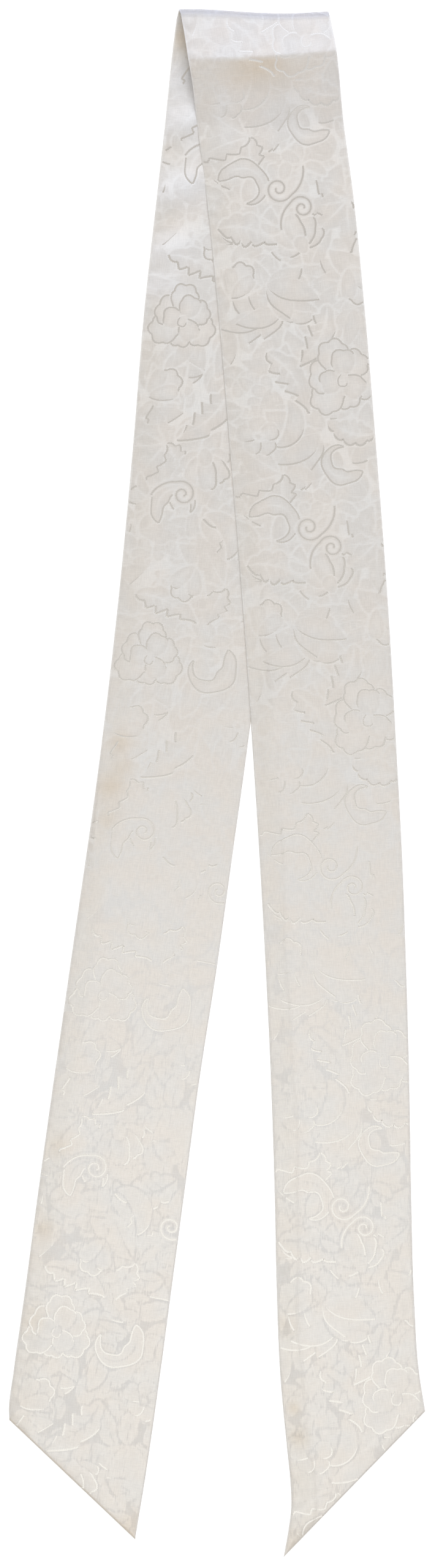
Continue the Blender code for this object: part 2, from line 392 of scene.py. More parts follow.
def relief(s, across, front):
    """The raised forms of one layer: seam allowances, soft folds, a slow swell and puckered edges."""
    left, right, end = insets(s, across)
    u, v = cloth_place(s, across)
    edge = smoothstep(0, RELIEF_EDGE, np.minimum(np.minimum(left, right), end))
    wander = sum(reach * np.sin(v / length + phase) for reach, length, phase in WANDERS)
    lift = ALLOWANCE_LIFT * (1 - smoothstep(0, ALLOWANCE_FADE, left - ALLOWANCE_WIDTH - wander))
    lift += END_LIFT * (1 - smoothstep(0, ALLOWANCE_FADE, end - END_ALLOWANCE - wander))
    lift += soft_folds(FRONT_FOLDS if front else BACK_FOLDS, s, left)
    lift += SWELL_LIFT * swell(u, v, FRONT_SWELL_SEED if front else BACK_SWELL_SEED)
    shift = PUCKER_SHIFT * np.sin(v / PUCKER_SHIFT_LENGTH)
    ripple = np.sin(v * 2 * math.pi / PUCKER_LENGTH + shift)
    pucker = PUCKER_LIFT * ripple * bell((left - PUCKER_INSET) / PUCKER_WIDTH)
    if front:
        shown = smoothstep(*TURN_RELIEF, s / COURSE.turn_length)
    else:
        shown = smoothstep(*BACK_RELIEF, COURSE.read("down", s))
    return (lift + pucker) * edge * shown


def layer_point(s, across, layer):
    """A point of one layer, whose edges settle onto what it lies on."""
    inset = np.minimum.reduce(insets(s, across))
    share = np.clip(1 - inset / EDGE_ROUND, 0, 1)
    offset = TUBE / 2 * np.sqrt(1 - share**2)
    laid = smoothstep(*(FRONT_SETTLED if layer.front else BACK_SETTLED), COURSE.read("down", s))
    settled = (TUBE / 2 - offset) * laid
    if layer.shows:
        offset = np.maximum(offset + relief(s, across, layer.front), offset * LEAST_LOFT)
    point = middle_point(s, across) + outward(s, across) * (layer.side * offset)[..., None]
    point[..., 2] -= settled
    return point


# The woven flowers

REPEAT = 222.0
CELL = 0.5
CHANNEL = 1.3
PETAL_CHANNEL = 0.85
LEAST_WIDTH = 0.25
SHORTEST_THREAD = 4.0
SHARPEST_TURN = 0.3

Shape = namedtuple("Shape", "kind path widths edge_tone core_tone depth channel accent")
Accent = namedtuple("Accent", "facing spread width")
Motif = namedtuple("Motif", "draw across along turn size")


def turned(points, degrees):
    """Turn points about the origin."""
    c, s = math.cos(math.radians(degrees)), math.sin(math.radians(degrees))
    return np.asarray(points, float) @ np.array([[c, s], [-s, c]])


def area(path, edge_tone, core_tone, depth, accent=None, channel=CHANNEL):
    """A filled outline whose tone runs from its edge to its core over the depth."""
    return Shape("area", np.asarray(path, float), None, edge_tone, core_tone, depth, channel, accent)


def stroke(path, widths, tone, accent=None, channel=CHANNEL):
    """A line with its half-widths."""
    return Shape("stroke", np.asarray(path, float), widths, tone, tone, 1.0, channel, accent)


def carved(path, widths):
    """A line of ground cut through a figure, such as a leaf's midrib."""
    return Shape("carved", np.asarray(path, float), widths, 0, 0, 1.0, 0, None)


def lobe(length, width, ruffles=0, ruffle=0.0, points=56):
    """A round petal from its base at the origin out along the first axis."""
    angle = np.linspace(0, 2 * math.pi, points, endpoint=False)
    far = 0.5 + 0.5 * np.cos(angle)
    wave = 1 + ruffle * far * (np.abs(np.sin(ruffles * angle / 2)) - 0.5)
    x = length * (0.5 + 0.5 * np.cos(angle) * wave)
    y = width / 2 * np.sin(angle) * wave * (0.35 + 0.65 * far**0.5)
    return np.stack([x, y], 1)


def disc(radius):
    """A round spot about the origin."""
    return lobe(2 * radius, 2 * radius) - [radius, 0]


def winding(heading, step):
    """A line from the origin that follows a heading at each step, and its sideways directions."""
    steps = np.stack([np.cos(heading), np.sin(heading)], 1) * step
    line = np.concatenate([[[0.0, 0.0]], np.cumsum(steps[:-1], 0)])
    return line, np.stack([-np.sin(heading), np.cos(heading)], 1)


def midrib(length, bend, points=48):
    """A line whose heading turns by the bend, its sideways directions and its shares along."""
    t = np.linspace(0, 1, points)
    return *winding(np.radians(bend) * (t - 0.5), length / (points - 1)), t


def blade(line, side, left, right):
    """A closed outline from a line and its half-widths on either hand."""
    return np.concatenate([line + side * left[:, None], (line - side * right[:, None])[::-1]])


def leaf(length, width, bend=0.0, teeth=0, notch=0.0, points=48):
    """A pointed leaf along a bent midrib, its sides notched into teeth."""
    line, side, t = midrib(length, bend, points)
    half = width / 2 * np.sin(math.pi * t**0.8) ** 0.85
    if teeth:
        half = half * (1 - notch + notch * np.abs(np.sin(math.pi * teeth * t**0.9)) ** 0.6)
    return blade(line, side, half, half)


def taper(count, widest=0.4):
    """Shares of a stroke's width along it, thin at both ends."""
    t = np.linspace(0, 1, count)
    return np.clip(np.minimum(t / widest, (1 - t) / (1 - widest)), 0, 1) ** 0.7


def curl(radius, turns, points=60):
    """A spiral that winds inwards from its outer end."""
    t = np.linspace(0, 1, points)
    r = radius * (1 - 0.86 * t**0.8)
    return np.stack([r * np.cos(2 * math.pi * turns * t), r * np.sin(2 * math.pi * turns * t)], 1)


ALL_ROUND = Accent(None, 360, 1.0)
OUTLINED_LEAF = 31.5


def toothed(t, count, depth):
    """Half-width shares of a leaf's side that is cut into forward-pointing teeth."""
    swell_out = np.sin(math.pi * t**0.75) ** 0.8
    share = (count * t**0.9) % 1.0
    cut = np.where(share < 0.8, (share / 0.8) ** 1.2, (1 - share) / 0.2)
    return swell_out * (1 - depth * cut)


def petals(size, rows, ruffles, ruffle, tones, depth, accent=None, channel=PETAL_CHANNEL):
    """Petals that spread from the origin. A row is a petal's angle, and its length and width in sizes."""
    shapes = []
    for angle, length, width in rows:
        petal = turned(lobe(size * length, size * width, ruffles, ruffle), angle)
        shapes.append(area(petal, *tones, size * depth, accent, channel))
    return shapes


def peony(size):
    """A full bloom: broad ruffled petals of unlike sizes, smaller inner ones and a round heart."""
    outer = (
        (0, 1.0, 1.1), (66, 0.82, 0.85), (118, 1.08, 1.0),
        (176, 0.86, 1.1), (238, 1.02, 0.95), (300, 0.8, 0.9),
    )
    inner = ((30, 0.68, 0.74), (150, 0.6, 0.74), (262, 0.72, 0.74))
    heart = turned(lobe(size * 0.34, size * 0.3, 5, 0.1) - [size * 0.1, 0], 80)
    return [
        *petals(size, outer, 7, 0.16, (0.75, 0.15), 0.26, ALL_ROUND),
        *petals(size, inner, 5, 0.16, (0.95, 0.35), 0.2, Accent(250, 100, 0.95)),
        area(heart, 0.3, 0.0, 2.5, Accent(120, 120, 0.8), PETAL_CHANNEL),
    ]


def blossom(size):
    """A five-petalled flower with a round heart."""
    round_heart = [(72 * i + 14, length, 0.95) for i, length in enumerate((1.0, 0.86, 1.06, 0.92, 0.98))]
    return [
        *petals(size, round_heart, 3, 0.14, (0.85, 0.3), 0.35, Accent(35, 70, 0.95)),
        area(disc(size * 0.26), 0.2, 0.2, 2.0, None, PETAL_CHANNEL),
        area(disc(size * 0.15), 1.0, 0.8, 2.0, None, PETAL_CHANNEL),
    ]


def rosette(size):
    """Broad pointed leaves that spread from one point, overlapping, with veins from their roots."""
    shapes = []
    # Angle, share of the size and bend of each leaf
    spread = (
        (-104, 0.66, -30), (98, 0.7, 34), (-66, 0.86, -24),
        (58, 0.9, 26), (-28, 1.0, -14), (22, 0.96, 12),
    )
    for i, (angle, share, bend) in enumerate(spread):
        line, side, t = midrib(size * share, bend, 60)
        half = size * 0.23
        outline = blade(line, side, half * toothed(t, 3, 0.4), half * toothed(t, 4, 0.36))
        accent = Accent(angle + 80, 96, 1.05) if i in (0, 1, 3, 4) else None
        shapes.append(area(turned(outline, angle), 0.95, 0.6, size * 0.12, accent, 0.5))
    for angle, share, bend in spread:
        line, _, _ = midrib(size * share * 0.72, bend)
        shapes.append(carved(turned(line, angle), 0.62 * taper(len(line), 0.15)))
    return shapes


def veins(size, length, bend, half_width, spread, rows):
    """A leaf's midrib and its side veins. A row is a share along the midrib and a vein's reach."""
    vein, vein_side, _ = midrib(size * length, bend)
    shapes = [carved(vein, half_width * taper(len(vein), 0.2))]
    for share, reach in rows:
        at = int(share * (len(vein) - 1))
        for hand in (-1, 1):
            tip = vein[at] + (vein_side[at] * hand * spread + [0.8, 0.25]) * size * reach
            shapes.append(carved(np.linspace(vein[at], tip, 12), 0.5 * taper(12, 0.2)))
    return shapes


def saw_leaf(size):
    """A long leaf with deep teeth and an outline down one side."""
    bend = 54
    line, side, t = midrib(size, bend, 90)
    outline = blade(line, side, size * 0.24 * toothed(t, 5, 0.5), size * 0.17 * toothed(t, 3, 0.3))
    filled = area(outline, 0.95, 0.55, size * 0.12, Accent(115, 96, 1.2))
    return [filled, *veins(size, 0.84, bend, 0.8, 0.8, ((0.28, 0.16), (0.46, 0.15), (0.64, 0.11)))]


def acanthus(size):
    """A broad leaf with deep round lobes, a midrib and side veins."""
    bend = 62
    line, side, t = midrib(size, bend, 80)
    lobes = np.sin(math.pi * t**0.8) ** 0.85 * (0.62 + 0.38 * np.abs(np.sin(math.pi * 5 * t**0.9)) ** 0.6)
    outline = blade(line, side, size * 0.3 * lobes, size * 0.22 * lobes)
    filled = area(outline, 0.95, 0.5, size * 0.14, Accent(100, 75, 1.25))
    return [filled, *veins(size, 0.86, bend, 0.9, 0.9, ((0.3, 0.17), (0.48, 0.16), (0.66, 0.12)))]


def tendril(size):
    """A thin line that winds into a spiral, with a fat leaf at its root."""
    wound = curl(size * 0.5, 1.5)
    stem = turned(midrib(size * 1.1, 60, 24)[0], 90)
    path = np.concatenate([(stem - stem[-1] + wound[0])[:-1], wound])
    root, side, t = midrib(size * 0.9, 70, 40)
    half = size * 0.17 * np.sin(math.pi * t) ** 0.7
    fat = blade(root, side, half, half) + path[0]
    halves = size * 0.05 + size * 0.05 * taper(len(path), 0.35)
    return [area(fat, 0.9, 0.6, 3.0, None), stroke(path, halves, 0.75, ALL_ROUND, PETAL_CHANNEL)]


def volute(size):
    """A full-bodied scroll: a round head that narrows and curls round to a pointed tail."""
    t = np.linspace(0, 1, 80)
    line, side = winding(np.radians(-50 + 235 * t**1.4), size * 2.2 / len(t))
    half = size * 0.30 * np.clip(t / 0.3, 0, 1) ** 0.7 * (1 - t) ** 0.8
    half = half * (1 + 0.12 * np.sin(t * 22))
    filled = area(blade(line, side, half, half), 0.9, 0.45, size * 0.2, Accent(None, 360, 0.95))
    return [filled, carved(line[12:60], 0.5 * taper(48, 0.3))]


def crescent(size):
    """A fat curved blade."""
    line, side, t = midrib(size, 140, 50)
    half = size * 0.15 * np.sin(math.pi * t) ** 0.8
    return [area(blade(line, side, half * 1.2, half * 0.8), 0.9, 0.5, size * 0.12, Accent(70, 60, 1.0))]


def bud(size):
    """A half-open flower on two sepals."""
    sepals = [turned(leaf(size * 0.9, size * 0.36, angle * 1.2), angle) for angle in (-48, 46)]
    return [
        *[area(sepal, 0.9, 0.6, 3.0) for sepal in sepals],
        *petals(size, ((0, 1.0, 0.86),), 7, 0.16, (0.7, 0.1), 0.24, ALL_ROUND, CHANNEL),
        *petals(size, ((-26, 0.82, 0.5), (24, 0.82, 0.5)), 4, 0.14, (0.9, 0.3), 0.16, Accent(100, 50, 0.9)),
    ]


def fan_flower(size):
    """A flower seen from the side: ruffled lobes over a cup."""
    lobes = ((-64, 0.7, 0.62), (62, 0.74, 0.62), (-32, 0.92, 0.62), (34, 0.88, 0.62), (0, 1.0, 0.62))
    cup = lobe(size * 0.5, size * 0.46) - [size * 0.16, 0]
    return [
        *petals(size, lobes, 5, 0.18, (0.85, 0.25), 0.2, Accent(20, 80, 1.15)),
        area(cup, 0.95, 0.6, 3.0, None, PETAL_CHANNEL),
    ]


def small_leaf(size):
    """A plain leaf with its midrib."""
    line, _, _ = midrib(size * 0.75, 46)
    outline = leaf(size, size * 0.5, 46, 2, 0.16)
    accent = Accent(70, 55, 0.9) if size > OUTLINED_LEAF else None
    return [area(outline, 0.95, 0.55, size * 0.14, accent), carved(line, 0.5 * taper(len(line), 0.3))]


def flame_leaf(size):
    """A leaf with three pointed tongues."""
    shapes = []
    for angle, share, bend in ((-42, 0.72, -36), (40, 0.76, 40), (0, 1.0, 20)):
        accent = Accent(angle + 90, 60, 1.0) if size > OUTLINED_LEAF else None
        tongue = turned(leaf(size * share, size * 0.4, bend), angle)
        shapes.append(area(tongue, 0.9, 0.6, size * 0.1, accent, 0.5))
    return shapes


def sprig(size):
    """Three small petals on a short stem."""
    rows = ((-54, 0.66, 0.46), (52, 0.66, 0.46), (0, 0.66, 0.46))
    return petals(size, rows, 0, 0.0, (0.8, 0.35), 0.14)


def filling(seed, spacing=12.0):
    """Small leaves, sprigs and crescents on a loose lattice, under the larger motifs."""
    chance = np.random.default_rng(seed)
    rows = round(REPEAT / spacing)
    kinds = ((small_leaf, 27.0), (sprig, 20.0), (flame_leaf, 26.0), (small_leaf, 33.0), (flame_leaf, 32.0))
    motifs = []
    for i in range(rows):
        for j in range(-1, round(CLOTH_WIDTH / spacing) + 1):
            draw, size = kinds[int(chance.integers(len(kinds)))]
            across = (j + 0.5 * (i % 2)) * spacing + chance.uniform(-3, 3)
            along = i * REPEAT / rows + chance.uniform(-3, 3)
            motifs.append(Motif(draw, across, along, chance.uniform(0, 360), size))
    return motifs


FACE_SEED = 3
BACK_SEED = 8
FACE_MOTIFS = [Motif(*row) for row in (
    (rosette, 34, 92, 195, 44), (rosette, 92, 140, 120, 34), (acanthus, 6, 150, 20, 44),
    (saw_leaf, 30, 12, 60, 50), (saw_leaf, 72, 206, 120, 46), (flame_leaf, 60, 68, 150, 34),
    (acanthus, 96, 70, 200, 34), (crescent, 40, 44, 110, 40), (volute, 10, 118, 10, 26),
    (volute, 86, 94, 200, 22), (fan_flower, 60, 168, 250, 24), (peony, 78, 32, 14, 25),
    (blossom, 20, 66, 40, 14), (bud, 88, 184, 70, 24), (tendril, 48, 128, 30, 19),
    (tendril, 62, 142, 205, 17), (bud, 10, 196, 300, 24), (flame_leaf, 34, 190, 20, 36),
)]
BACK_MOTIFS = [Motif(*row) for row in (
    (rosette, 70, 150, 215, 42), (rosette, 22, 60, 150, 38), (saw_leaf, 60, 20, 130, 50),
    (acanthus, 90, 92, 160, 44), (saw_leaf, 12, 160, 20, 46), (crescent, 52, 104, 60, 42),
    (flame_leaf, 84, 46, 80, 36), (volute, 76, 190, 120, 26), (volute, 22, 112, 300, 24),
    (fan_flower, 48, 64, 80, 24), (peony, 26, 200, 30, 22), (blossom, 88, 16, 50, 14),
    (bud, 48, 138, 110, 24), (tendril, 36, 92, 240, 18), (tendril, 90, 124, 60, 17),
    (bud, 8, 30, 320, 24),
)]


def gap_to_path(points, path, widths, closed):
    """Distance from points to a path, less its half-width there."""
    ends = np.roll(path, -1, axis=0) if closed else path[1:]
    starts = path if closed else path[:-1]
    run = ends - starts
    reach = points[:, None, :] - starts[None]
    t = np.clip((reach * run).sum(2) / np.maximum((run * run).sum(1), 1e-9), 0, 1)
    gap = np.sqrt(((reach - t[..., None] * run) ** 2).sum(2))
    if widths is not None:
        gap = gap - (widths[:-1] + (widths[1:] - widths[:-1]) * t)
    return gap.min(1)


def is_inside(points, outline):
    """Whether each point is inside a closed outline."""
    starts, ends = outline, np.roll(outline, -1, axis=0)
    y = points[:, 1, None]
    crosses = (starts[:, 1] > y) != (ends[:, 1] > y)
    rise = np.where(ends[:, 1] == starts[:, 1], 1e-9, ends[:, 1] - starts[:, 1])
    at = (ends[:, 0] - starts[:, 0]) * (y - starts[:, 1]) / rise + starts[:, 0]
    return ((points[:, 0, None] < at) & crosses).sum(1) % 2 == 1


def drop_scraps(width, at):
    """Leave out stretches of thread that are too short to read as a line."""
    shown = np.concatenate([[False], width > LEAST_WIDTH, [False]])
    starts, stops = np.nonzero(shown[1:] & ~shown[:-1])[0], np.nonzero(~shown[1:] & shown[:-1])[0]
    for start, stop in zip(starts, stops):
        if at[stop - 1] - at[start] < SHORTEST_THREAD:
            width[start:stop] = 0
    return width


class Tile:
    """One repeat of the cloth: each cell's distance to the figures, tone and topmost shape."""

    NO_FIGURE = 6.0
    MARGIN = 4.0
    EDGE_CELLS = 2
    FEWEST_POINTS = 8
    FACING_FADE = 0.35

    def __init__(self, motifs):
        """Lay the motifs one over another on an empty tile."""
        self.rows, self.cols = round(REPEAT / CELL), round(CLOTH_WIDTH / CELL) + 1
        self.figure = np.full((self.rows, self.cols), self.NO_FIGURE)
        self.tone = np.zeros((self.rows, self.cols))
        self.owner = np.zeros((self.rows, self.cols), int)
        self.outlined = []
        self.count = 0
        for motif in motifs:
            for shape in motif.draw(motif.size):
                self.lay(shape, turned(shape.path, motif.turn) + [motif.across, motif.along])

    def lay(self, shape, path):
        """Lay one shape over what is there, with a channel of ground round it."""
        self.count += 1
        reach = self.MARGIN + (0 if shape.widths is None else float(np.max(shape.widths)))
        low, high = path.min(0) - reach, path.max(0) + reach
        i = np.arange(math.floor(low[1] / CELL), math.ceil(high[1] / CELL) + 1)
        j = np.arange(max(0, math.floor(low[0] / CELL)), min(self.cols - 1, math.ceil(high[0] / CELL)) + 1)
        if not len(j):
            return
        u, v = np.meshgrid(j * CELL, i * CELL)
        points = np.stack([u.ravel(), v.ravel()], 1)
        closed = shape.kind == "area"
        gap = gap_to_path(points, path, shape.widths, closed)
        if closed:
            gap = np.where(is_inside(points, path), -gap, gap)
        gap = gap.reshape(u.shape)
        at = np.ix_(i % self.rows, j)
        if shape.kind == "carved":
            self.figure[at] = np.maximum(self.figure[at], -gap)
            return
        core = smoothstep(0, shape.depth, -gap)
        tone = shape.edge_tone + (shape.core_tone - shape.edge_tone) * core
        self.tone[at] = np.where(gap < 0, tone, self.tone[at])
        self.figure[at] = np.minimum(gap, np.maximum(self.figure[at], shape.channel - gap))
        self.owner[at] = np.where(gap < shape.channel / 2, self.count, self.owner[at])
        if shape.accent:
            self.outlined.append((self.count, shape, path))

    def sample(self, field, u, v):
        """Read a field between its cells. It repeats along the cloth."""
        row, col = (v / CELL) % self.rows, np.clip(u / CELL, 0, self.cols - 1.001)
        i, j = np.floor(row).astype(int) % self.rows, np.floor(col).astype(int)
        a, b = row - np.floor(row), col - j
        below = (i + 1) % self.rows
        near = field[i, j] * (1 - b) + field[i, j + 1] * b
        far = field[below, j] * (1 - b) + field[below, j + 1] * b
        return near * (1 - a) + far * a

    def threads(self, spacing):
        """Outline threads that no later shape covers: points, widths and lengths along."""
        found = []
        for order, shape, path in self.outlined:
            closed = shape.kind == "area"
            ring = np.concatenate([path, path[:1]]) if closed else path
            lengths = np.concatenate([[0], np.cumsum(np.linalg.norm(np.diff(ring, axis=0), axis=1))])
            count = max(self.FEWEST_POINTS, int(lengths[-1] / spacing))
            at = np.linspace(0, lengths[-1], count)
            line = np.stack([np.interp(at, lengths, ring[:, k]) for k in (0, 1)], 1)
            share = np.ones(count)
            if shape.accent.facing is not None:
                run = np.gradient(line, axis=0)
                out = unit(np.stack([run[:, 1], -run[:, 0]], 1))
                out *= np.sign(((line - path.mean(0)) * out).sum(1).mean())
                facing = math.radians(shape.accent.facing)
                toward = out @ [math.cos(facing), math.sin(facing)]
                least = math.cos(math.radians(shape.accent.spread))
                share = np.clip((toward - least) / self.FACING_FADE, 0, 1)
            i = np.round(line[:, 1] / CELL).astype(int) % self.rows
            j = np.round(line[:, 0] / CELL).astype(int)
            seen = (j >= self.EDGE_CELLS) & (j < self.cols - self.EDGE_CELLS)
            seen &= self.owner[i, np.clip(j, 0, self.cols - 1)] <= order
            steps = unit(np.diff(line, axis=0))
            gentle = np.concatenate([[True], (steps[:-1] * steps[1:]).sum(1) > SHARPEST_TURN, [True]])
            width = np.where(seen & gentle, share, 0) * shape.accent.width
            found.append((line, drop_scraps(width, at), at))
        return found


# Building the layers

# Arc length at which the back tail's layers join the fold's
JOIN = TURN_CENTRE - BACK_JOIN
WIDEST_INSET = 40.0
WIDEST_RIM = 4.0


def grid_rows(front, spacing):
    """Arc lengths at the left and right edges of each row, from the join at the fold to the tip."""
    if front:
        fold_end = COURSE.at_down(DROP_FULL, True)
        level = list(np.arange(JOIN, fold_end, TURN_GRID))
        start_down = DROP_FULL
    else:
        level = []
        start_down = BACK_JOIN
    flat = np.linspace(start_down, SKEW_START, round((SKEW_START - start_down) / spacing))
    level += list(COURSE.at_down(flat, front))
    ends = [edge[-1][0] for edge in outlines(front)]
    longest = max(ends)
    stretch = longest - SKEW_START
    insets_down = np.array(RIM_INSETS[::-1]) * math.sqrt(2)
    skewed = np.linspace(SKEW_START, longest - insets_down[0], round(stretch / spacing))[1:]
    skewed = np.concatenate([skewed, longest - insets_down[1:]])
    progress = (skewed - SKEW_START) / stretch
    left, right = (COURSE.at_down(SKEW_START + (end - SKEW_START) * progress, front) for end in ends)
    return np.concatenate([level, left]), np.concatenate([level, right])


def grid_columns(spacing):
    """Shares across a row, close together at both rims."""
    rim = np.array(RIM_INSETS)
    body = np.linspace(rim[-1], CLOTH_WIDTH - rim[-1], round(CLOTH_WIDTH / spacing))
    return np.concatenate([rim[:-1], body, CLOTH_WIDTH - rim[-2::-1]]) / CLOTH_WIDTH


def add_mesh(name, points, faces, edges=()):
    """Add a mesh object at the origin from points in millimetres."""
    mesh = bpy.data.meshes.new(name)
    mesh.from_pydata((points * MM).tolist(), list(edges), faces)
    thing = bpy.data.objects.new(name, mesh)
    bpy.context.scene.collection.objects.link(thing)
    return thing


def give_attribute(thing, name, values, kind="FLOAT"):
    """Give every point of a mesh a value that its material or its node tree reads."""
    attribute = thing.data.attributes.new(name, kind, "POINT")
    key = "value" if kind == "FLOAT" else "vector"
    attribute.data.foreach_set(key, np.asarray(values, np.float32).ravel())


def cloth_layer(layer, tile, material):
    """Make one layer of one tail as a sheet on its solid's form."""
    spacing = FACE_GRID if layer.shows else UNDER_GRID
    s_left, s_right = grid_rows(layer.front, spacing)
    place = grid_columns(spacing)
    s = s_left[:, None] + (s_right - s_left)[:, None] * place
    left, right = COURSE.read("left", s_left), COURSE.read("right", s_right)
    across = left[:, None] + (right - left)[:, None] * place
    points = layer_point(s, across, layer)
    u, v = cloth_place(s, across)
    v = v * layer.side
    index = np.arange(s.size).reshape(s.shape)
    corners = [index[:-1, :-1], index[:-1, 1:], index[1:, 1:], index[1:, :-1]]
    if (layer.side > 0) == layer.front:
        corners.reverse()
    faces = np.stack([c.ravel() for c in corners], 1)
    sheet = add_mesh(layer.name, points.reshape(-1, 3), faces.tolist())
    sheet.data.shade_smooth()
    spots = np.stack([u.ravel(), v.ravel()], 1)[faces.ravel()] * MM
    sheet.data.uv_layers.new(name="cloth").data.foreach_set("uv", spots.astype(np.float32).ravel())
    left_inset, right_inset, end_inset = insets(s, across)
    none = np.zeros_like(s)
    held_by_points = {
        "figure": tile.sample(tile.figure, u, v),
        "tone": tile.sample(tile.tone, u, v),
        "seam": np.clip(left_inset, 0, WIDEST_INSET),
        # The next four values place painted light at the rims, painted sheen on the back tail's ripples,
        # the fold's painted light and shade, and painted shade in dents, under the crest and along the
        # rolled end
        "rim": np.clip(np.minimum(np.minimum(left_inset, right_inset), end_inset), 0, WIDEST_RIM),
        "sheen": ridge_sheen(s, left_inset) if layer.shows and not layer.front else none,
        "turn": painted_fold_light(s) if layer.side > 0 and layer.front else none,
        "painted_shade": painted_shade(s, left_inset, end_inset, layer.front) if layer.shows else none,
    }
    for name, values in held_by_points.items():
        give_attribute(sheet, name, values)
    sheet.data.materials.append(material)
    return sheet


def flat_cut(front):
    """The flat length and area of one layer, from the join at the fold to its slanted end."""
    lengths = []
    for edge, outline in zip(("left", "right"), outlines(front)):
        down, across = outline[-1]
        start = cloth_place(JOIN, COURSE.read(edge, JOIN))[1]
        tip = cloth_place(COURSE.at_down(down, front), across)[1]
        lengths.append(abs(tip - start) * MM)
    return max(lengths), CLOTH_WIDTH * MM * sum(lengths) / 2


# Painted shade in the dents and along the rolled end, and the painted light and shade at the fold

PaintedSpot = namedtuple("PaintedSpot", "down inset radius strength")
FRONT_PAINTED_SHADE = [PaintedSpot(*row) for row in (
    (860, 6, 8, 0.35), (913, 7, 4, 0.6), (932, 8, 7, 0.6), (960, 6, 10, 0.2), (1000, 6, 12, 0.3),
)]
BACK_PAINTED_SHADE = [PaintedSpot(*row) for row in (
    (18, 7, 10, 0.9), (96, 10, 12, 0.3), (140, 8, 12, 0.25), (478, 13, 7, 0.6), (494, 17, 6, 0.45),
    (506, 10, 9, 0.7), (528, 12, 7, 0.45), (742, 8, 8, 0.4), (796, 6, 7, 0.5), (855, 8, 9, 0.35),
    (990, 82, 12, 0.5),
)]
# Painted pale sheen on the back tail's ripples beside the fold
RIDGE_SHEENS = [PaintedSpot(*row) for row in (
    (44, 8, 13, 0.4), (72, 14, 15, 0.45), (115, 14, 15, 0.45), (156, 12, 13, 0.4), (180, 8, 10, 0.4),
)]
RIDGE_SPREAD = 1.6
MOST_PAINTED_SHADE = 1.2
END_PAINTED_SHADE = 0.9
END_PAINTED_SHADE_FADE = (0.3, 2.0)

# Shares of the fold's painted light on the facet and past the crest, and where each stretch of the painted
# light and shade starts and ends
FACET_SHARE = 0.18
GLOW_SHARE = 0.09
TURN_STARTS = (0.4, 0.6)
TURN_STOPS = (0.75, 1.15)
FACET_STARTS = (0.6, 0.9)
FACET_STOPS = 2.5
GLOW_STOPS = (15.0, 90.0)

# The warm shade under the crest
SHADE_STARTS = (0.5, 5.0)
SHADE_STOPS = (8.0, 38.0)
SHADE_STRENGTH = 0.8
SHADE_EVERYWHERE = 0.16
SHADE_IN_THE_DIP = 1.1
DIP_INSET = 44.0
DIP_WIDTH = 25.0


def spots(rows, s, left_inset, spread=1.0):
    """The strength of soft spots, each wider across the cloth by the spread."""
    down = COURSE.read("down", s)
    total = np.zeros_like(s)
    for spot in rows:
        across = (left_inset - spot.inset) / (spread * spot.radius)
        total += spot.strength * bell((down - spot.down) / spot.radius) * bell(across)
    return total


def ridge_sheen(s, left_inset):
    """The pale, cool sheen on the back tail's ripples beside the fold."""
    return np.clip(spots(RIDGE_SHEENS, s, left_inset, RIDGE_SPREAD), 0, 1)


def painted_fold_light(s):
    """How much painted cool shade lies on the turn, and how much of the window's cool light is painted on
    the facet and, fading, past the crest.
    """
    round_turn, past_crest = s / COURSE.turn_length, s - COURSE.turn_length - FACET_LENGTH
    turn = smoothstep(*TURN_STARTS, round_turn) * (1 - smoothstep(*TURN_STOPS, round_turn))
    facet = FACET_SHARE * (1 - smoothstep(0, FACET_STOPS, past_crest))
    glow = GLOW_SHARE * (1 - smoothstep(*GLOW_STOPS, past_crest))
    return np.clip(turn + np.maximum(facet, glow) * smoothstep(*FACET_STARTS, round_turn), 0, 1)


def fold_shade(s, left_inset):
    """The warm shade under the crest, deepest left of the middle."""
    past_crest = s - COURSE.turn_length - FACET_LENGTH
    band = smoothstep(*SHADE_STARTS, past_crest) * (1 - smoothstep(*SHADE_STOPS, past_crest))
    return band * (SHADE_EVERYWHERE + SHADE_IN_THE_DIP * bell((left_inset - DIP_INSET) / DIP_WIDTH))


def painted_shade(s, left_inset, end_inset, front):
    """Painted brownish shade where shade gathers: in the dents beside the seam, along the rolled end and,
    on the front, under the crest.
    """
    if front:
        total = fold_shade(s, left_inset) * SHADE_STRENGTH
    else:
        total = END_PAINTED_SHADE * (1 - smoothstep(*END_PAINTED_SHADE_FADE, end_inset))
    return np.clip(total + spots(FRONT_PAINTED_SHADE if front else BACK_PAINTED_SHADE, s, left_inset), 0, MOST_PAINTED_SHADE)


# Materials


def link(tree, value, socket):
    """Join a socket to another, or give it a plain number or colour."""
    if isinstance(value, (int, float, tuple)):
        socket.default_value = value
    else:
        tree.links.new(value, socket)


def add_node(tree, kind, **settings):
    """Add a node and set its properties."""
    node = tree.nodes.new(kind)
    for name, value in settings.items():
        setattr(node, name, value)
    return node


def set_inputs(node, values):
    """Set a node's inputs by name."""
    for name, value in values.items():
        node.inputs[name].default_value = value


def maths(tree, operation, *values):
    """A Math node of sockets or numbers. Returns its output."""
    node = add_node(tree, "ShaderNodeMath", operation=operation)
    for value, socket in zip(values, node.inputs):
        link(tree, value, socket)
    return node.outputs[0]


def ramp(tree, value, start, end, low=0.0, high=1.0):
    """A soft step from low at start to high at end."""
    node = add_node(tree, "ShaderNodeMapRange", interpolation_type="SMOOTHSTEP")
    link(tree, value, node.inputs["Value"])
    set_inputs(node, {"From Min": start, "From Max": end, "To Min": low, "To Max": high})
    return node.outputs["Result"]


# Where a Mix node of colours has its sockets
MIX_SHARE, MIX_FIRST, MIX_SECOND, MIX_COLOUR = 0, 6, 7, 2


